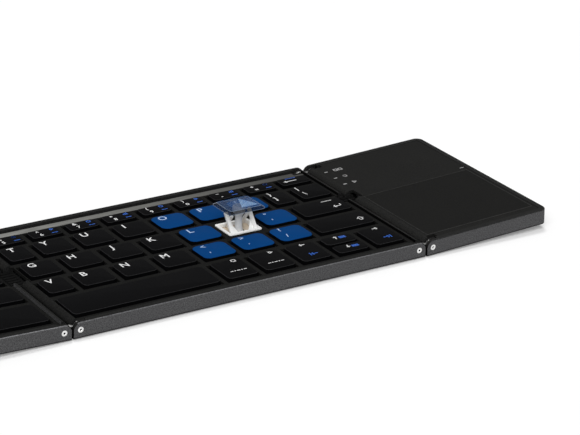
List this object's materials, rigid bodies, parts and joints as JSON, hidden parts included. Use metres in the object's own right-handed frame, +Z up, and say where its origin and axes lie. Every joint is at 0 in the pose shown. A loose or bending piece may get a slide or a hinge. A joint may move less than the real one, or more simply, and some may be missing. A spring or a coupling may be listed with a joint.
{
  "type": "folding keyboard with touchpad",
  "caption": "Slim three-panel folding keyboard that opens flat, with low keys on the left and centre panels, a touchpad on the right panel and one clear key raised on its scissor lift.",
  "frame": {"origin": "on the table plane, under the middle of the opened keyboard", "axes": "+X along the long side towards the touchpad, +Y towards the number row at the rear, +Z up from the table"},
  "size_m": [0.3334, 0.098, 0.0172],
  "materials": {
    "shell_metal": "satin",
    "steel": "satin",
    "deck_plastic": "matte",
    "key_plastic": "matte",
    "blue_plastic": "matte",
    "white_plastic": "satin",
    "clear_plastic": "gloss",
    "dome_rubber": "satin",
    "board": "satin",
    "cover_plastic": "matte",
    "pad_plastic": "satin",
    "bridge_plastic": "matte",
    "cell_foil": "satin"
  },
  "bodies": {
    "centre_panel": {"centre_base_shell": "shell_metal", "centre_key_frame": "deck_plastic", "centre_key_board": "board", "centre_pivot_screws": "steel", "open_key_base": "white_plastic", "open_key_dome": "dome_rubber"},
    "left_link": {"left_hinge_links": "steel", "left_cable_bridge": "bridge_plastic"},
    "left_panel": {"left_base_shell": "shell_metal", "left_key_frame": "deck_plastic", "left_key_board": "board", "left_pivot_screws": "steel"},
    "touchpad_link": {"touchpad_hinge_links": "steel", "touchpad_cable_bridge": "bridge_plastic"},
    "touchpad_panel": {"touchpad_base_shell": "shell_metal", "touchpad_cover": "cover_plastic", "touch_surface": "pad_plastic", "main_board": "board", "battery_cell": "cell_foil", "touchpad_pivot_screws": "steel"},
    "open_key_cap": {"open_key_cap": "clear_plastic"},
    "open_key_outer_frame": {"open_key_outer_frame": "white_plastic"},
    "open_key_inner_frame": {"open_key_inner_frame": "white_plastic"},
    "key_arrow_down": {"key_arrow_down": "key_plastic"},
    "key_arrow_left": {"key_arrow_left": "key_plastic"},
    "key_arrow_right": {"key_arrow_right": "key_plastic"},
    "key_arrow_up": {"key_arrow_up": "key_plastic"},
    "key_b": {"key_b": "key_plastic"},
    "key_backslash": {"key_backslash": "key_plastic"},
    "key_bracket_close": {"key_bracket_close": "key_plastic"},
    "key_bracket_open": {"key_bracket_open": "blue_plastic"},
    "key_comma": {"key_comma": "blue_plastic"},
    "key_enter": {"key_enter": "key_plastic"},
    "key_g": {"key_g": "key_plastic"},
    "key_h": {"key_h": "key_plastic"},
    "key_i": {"key_i": "key_plastic"},
    "key_j": {"key_j": "key_plastic"},
    "key_k": {"key_k": "key_plastic"},
    "key_l": {"key_l": "blue_plastic"},
    "key_m": {"key_m": "key_plastic"},
    "key_modifier_a": {"key_modifier_a": "key_plastic"},
    "key_modifier_b": {"key_modifier_b": "key_plastic"},
    "key_n": {"key_n": "key_plastic"},
    "key_o": {"key_o": "blue_plastic"},
    "key_p": {"key_p": "blue_plastic"},
    "key_period": {"key_period": "blue_plastic"},
    "key_quote": {"key_quote": "blue_plastic"},
    "key_shift": {"key_shift": "key_plastic"},
    "key_slash": {"key_slash": "blue_plastic"},
    "key_space": {"key_space": "key_plastic"},
    "key_t": {"key_t": "key_plastic"},
    "key_u": {"key_u": "key_plastic"},
    "key_v": {"key_v": "key_plastic"},
    "key_y": {"key_y": "key_plastic"},
    "centre_number_keys": {"centre_number_keys": "key_plastic"},
    "left_keys_row1": {"left_keys_row1": "key_plastic"},
    "left_keys_row2": {"left_keys_row2": "key_plastic"},
    "left_keys_row3": {"left_keys_row3": "key_plastic"},
    "left_keys_row4": {"left_keys_row4": "key_plastic"},
    "left_keys_row5": {"left_keys_row5": "key_plastic"}
  },
  "joints": [
    {"name": "fold_left_inner", "type": "hinge", "parent": "centre_panel", "child": "left_link", "pos_m": [-0.06211, 0, 0.00395], "axis": [0, 1, 0], "range_deg": [0, 90]},
    {"name": "fold_left_outer", "type": "hinge", "parent": "left_link", "child": "left_panel", "pos_m": [-0.06921, 0, 0.00395], "axis": [0, 1, 0], "range_deg": [-2, 88]},
    {"name": "fold_touchpad_inner", "type": "hinge", "parent": "centre_panel", "child": "touchpad_link", "pos_m": [0.09859, 0, 0.00395], "axis": [0, -1, 0], "range_deg": [0, 90]},
    {"name": "fold_touchpad_outer", "type": "hinge", "parent": "touchpad_link", "child": "touchpad_panel", "pos_m": [0.10569, 0, 0.00395], "axis": [0, -1, 0], "range_deg": [-2.3, 87.7]},
    {"name": "clear_key_press", "type": "slide", "parent": "centre_panel", "child": "open_key_cap", "axis": [0, 0, -1], "range_m": [0, 0.00965], "stiffness_N_per_m": 40, "springref_m": -0.002, "deforming": ["open_key_dome"]},
    {"name": "clear_key_outer_frame", "type": "hinge", "parent": "centre_panel", "child": "open_key_outer_frame", "pos_m": [0.04159, -0.00017, 0.00595], "axis": [1, 0, 0], "range_deg": [-52.1, 0]},
    {"name": "clear_key_inner_frame", "type": "hinge", "parent": "centre_panel", "child": "open_key_inner_frame", "pos_m": [0.04159, 0.00873, 0.00595], "axis": [1, 0, 0], "range_deg": [0, 52.1]},
    {"name": "key_arrow_down_press", "type": "slide", "parent": "centre_panel", "child": "key_arrow_down", "axis": [0, 0, -1], "range_m": [0, 0.00115], "stiffness_N_per_m": 300, "springref_m": -0.001},
    {"name": "key_arrow_left_press", "type": "slide", "parent": "centre_panel", "child": "key_arrow_left", "axis": [0, 0, -1], "range_m": [0, 0.00115], "stiffness_N_per_m": 300, "springref_m": -0.001},
    {"name": "key_arrow_right_press", "type": "slide", "parent": "centre_panel", "child": "key_arrow_right", "axis": [0, 0, -1], "range_m": [0, 0.00115], "stiffness_N_per_m": 300, "springref_m": -0.001},
    {"name": "key_arrow_up_press", "type": "slide", "parent": "centre_panel", "child": "key_arrow_up", "axis": [0, 0, -1], "range_m": [0, 0.00115], "stiffness_N_per_m": 300, "springref_m": -0.001},
    {"name": "key_b_press", "type": "slide", "parent": "centre_panel", "child": "key_b", "axis": [0, 0, -1], "range_m": [0, 0.00115], "stiffness_N_per_m": 300, "springref_m": -0.001},
    {"name": "key_backslash_press", "type": "slide", "parent": "centre_panel", "child": "key_backslash", "axis": [0, 0, -1], "range_m": [0, 0.00115], "stiffness_N_per_m": 300, "springref_m": -0.001},
    {"name": "key_bracket_close_press", "type": "slide", "parent": "centre_panel", "child": "key_bracket_close", "axis": [0, 0, -1], "range_m": [0, 0.00115], "stiffness_N_per_m": 300, "springref_m": -0.001},
    {"name": "key_bracket_open_press", "type": "slide", "parent": "centre_panel", "child": "key_bracket_open", "axis": [0, 0, -1], "range_m": [0, 0.00115], "stiffness_N_per_m": 300, "springref_m": -0.001},
    {"name": "key_comma_press", "type": "slide", "parent": "centre_panel", "child": "key_comma", "axis": [0, 0, -1], "range_m": [0, 0.00115], "stiffness_N_per_m": 300, "springref_m": -0.001},
    {"name": "key_enter_press", "type": "slide", "parent": "centre_panel", "child": "key_enter", "axis": [0, 0, -1], "range_m": [0, 0.00115], "stiffness_N_per_m": 300, "springref_m": -0.001},
    {"name": "key_g_press", "type": "slide", "parent": "centre_panel", "child": "key_g", "axis": [0, 0, -1], "range_m": [0, 0.00115], "stiffness_N_per_m": 300, "springref_m": -0.001},
    {"name": "key_h_press", "type": "slide", "parent": "centre_panel", "child": "key_h", "axis": [0, 0, -1], "range_m": [0, 0.00115], "stiffness_N_per_m": 300, "springref_m": -0.001},
    {"name": "key_i_press", "type": "slide", "parent": "centre_panel", "child": "key_i", "axis": [0, 0, -1], "range_m": [0, 0.00115], "stiffness_N_per_m": 300, "springref_m": -0.001},
    {"name": "key_j_press", "type": "slide", "parent": "centre_panel", "child": "key_j", "axis": [0, 0, -1], "range_m": [0, 0.00115], "stiffness_N_per_m": 300, "springref_m": -0.001},
    {"name": "key_k_press", "type": "slide", "parent": "centre_panel", "child": "key_k", "axis": [0, 0, -1], "range_m": [0, 0.00115], "stiffness_N_per_m": 300, "springref_m": -0.001},
    {"name": "key_l_press", "type": "slide", "parent": "centre_panel", "child": "key_l", "axis": [0, 0, -1], "range_m": [0, 0.00115], "stiffness_N_per_m": 300, "springref_m": -0.001},
    {"name": "key_m_press", "type": "slide", "parent": "centre_panel", "child": "key_m", "axis": [0, 0, -1], "range_m": [0, 0.00115], "stiffness_N_per_m": 300, "springref_m": -0.001},
    {"name": "key_modifier_a_press", "type": "slide", "parent": "centre_panel", "child": "key_modifier_a", "axis": [0, 0, -1], "range_m": [0, 0.00115], "stiffness_N_per_m": 300, "springref_m": -0.001},
    {"name": "key_modifier_b_press", "type": "slide", "parent": "centre_panel", "child": "key_modifier_b", "axis": [0, 0, -1], "range_m": [0, 0.00115], "stiffness_N_per_m": 300, "springref_m": -0.001},
    {"name": "key_n_press", "type": "slide", "parent": "centre_panel", "child": "key_n", "axis": [0, 0, -1], "range_m": [0, 0.00115], "stiffness_N_per_m": 300, "springref_m": -0.001},
    {"name": "key_o_press", "type": "slide", "parent": "centre_panel", "child": "key_o", "axis": [0, 0, -1], "range_m": [0, 0.00115], "stiffness_N_per_m": 300, "springref_m": -0.001},
    {"name": "key_p_press", "type": "slide", "parent": "centre_panel", "child": "key_p", "axis": [0, 0, -1], "range_m": [0, 0.00115], "stiffness_N_per_m": 300, "springref_m": -0.001},
    {"name": "key_period_press", "type": "slide", "parent": "centre_panel", "child": "key_period", "axis": [0, 0, -1], "range_m": [0, 0.00115], "stiffness_N_per_m": 300, "springref_m": -0.001},
    {"name": "key_quote_press", "type": "slide", "parent": "centre_panel", "child": "key_quote", "axis": [0, 0, -1], "range_m": [0, 0.00115], "stiffness_N_per_m": 300, "springref_m": -0.001},
    {"name": "key_shift_press", "type": "slide", "parent": "centre_panel", "child": "key_shift", "axis": [0, 0, -1], "range_m": [0, 0.00115], "stiffness_N_per_m": 300, "springref_m": -0.001},
    {"name": "key_slash_press", "type": "slide", "parent": "centre_panel", "child": "key_slash", "axis": [0, 0, -1], "range_m": [0, 0.00115], "stiffness_N_per_m": 300, "springref_m": -0.001},
    {"name": "key_space_press", "type": "slide", "parent": "centre_panel", "child": "key_space", "axis": [0, 0, -1], "range_m": [0, 0.00115], "stiffness_N_per_m": 400, "springref_m": -0.001},
    {"name": "key_t_press", "type": "slide", "parent": "centre_panel", "child": "key_t", "axis": [0, 0, -1], "range_m": [0, 0.00115], "stiffness_N_per_m": 300, "springref_m": -0.001},
    {"name": "key_u_press", "type": "slide", "parent": "centre_panel", "child": "key_u", "axis": [0, 0, -1], "range_m": [0, 0.00115], "stiffness_N_per_m": 300, "springref_m": -0.001},
    {"name": "key_v_press", "type": "slide", "parent": "centre_panel", "child": "key_v", "axis": [0, 0, -1], "range_m": [0, 0.00115], "stiffness_N_per_m": 300, "springref_m": -0.001},
    {"name": "key_y_press", "type": "slide", "parent": "centre_panel", "child": "key_y", "axis": [0, 0, -1], "range_m": [0, 0.00115], "stiffness_N_per_m": 300, "springref_m": -0.001},
    {"name": "number_keys_press", "type": "slide", "parent": "centre_panel", "child": "centre_number_keys", "axis": [0, 0, -1], "range_m": [0, 0.00115], "stiffness_N_per_m": 900, "springref_m": -0.001},
    {"name": "left_keys_row1_press", "type": "slide", "parent": "left_panel", "child": "left_keys_row1", "axis": [-0.0349, 0, -0.9994], "range_m": [0, 0.00115], "stiffness_N_per_m": 700, "springref_m": -0.001},
    {"name": "left_keys_row2_press", "type": "slide", "parent": "left_panel", "child": "left_keys_row2", "axis": [-0.0349, 0, -0.9994], "range_m": [0, 0.00115], "stiffness_N_per_m": 700, "springref_m": -0.001},
    {"name": "left_keys_row3_press", "type": "slide", "parent": "left_panel", "child": "left_keys_row3", "axis": [-0.0349, 0, -0.9994], "range_m": [0, 0.00115], "stiffness_N_per_m": 700, "springref_m": -0.001},
    {"name": "left_keys_row4_press", "type": "slide", "parent": "left_panel", "child": "left_keys_row4", "axis": [-0.0349, 0, -0.9994], "range_m": [0, 0.00115], "stiffness_N_per_m": 700, "springref_m": -0.001},
    {"name": "left_keys_row5_press", "type": "slide", "parent": "left_panel", "child": "left_keys_row5", "axis": [-0.0349, 0, -0.9994], "range_m": [0, 0.00115], "stiffness_N_per_m": 700, "springref_m": -0.001}
  ],
  "couplings": [
    {"joint": "clear_key_outer_frame", "follows": "clear_key_press", "rad_per_m": -94.049},
    {"joint": "clear_key_inner_frame", "follows": "clear_key_press", "rad_per_m": 94.049}
  ]
}
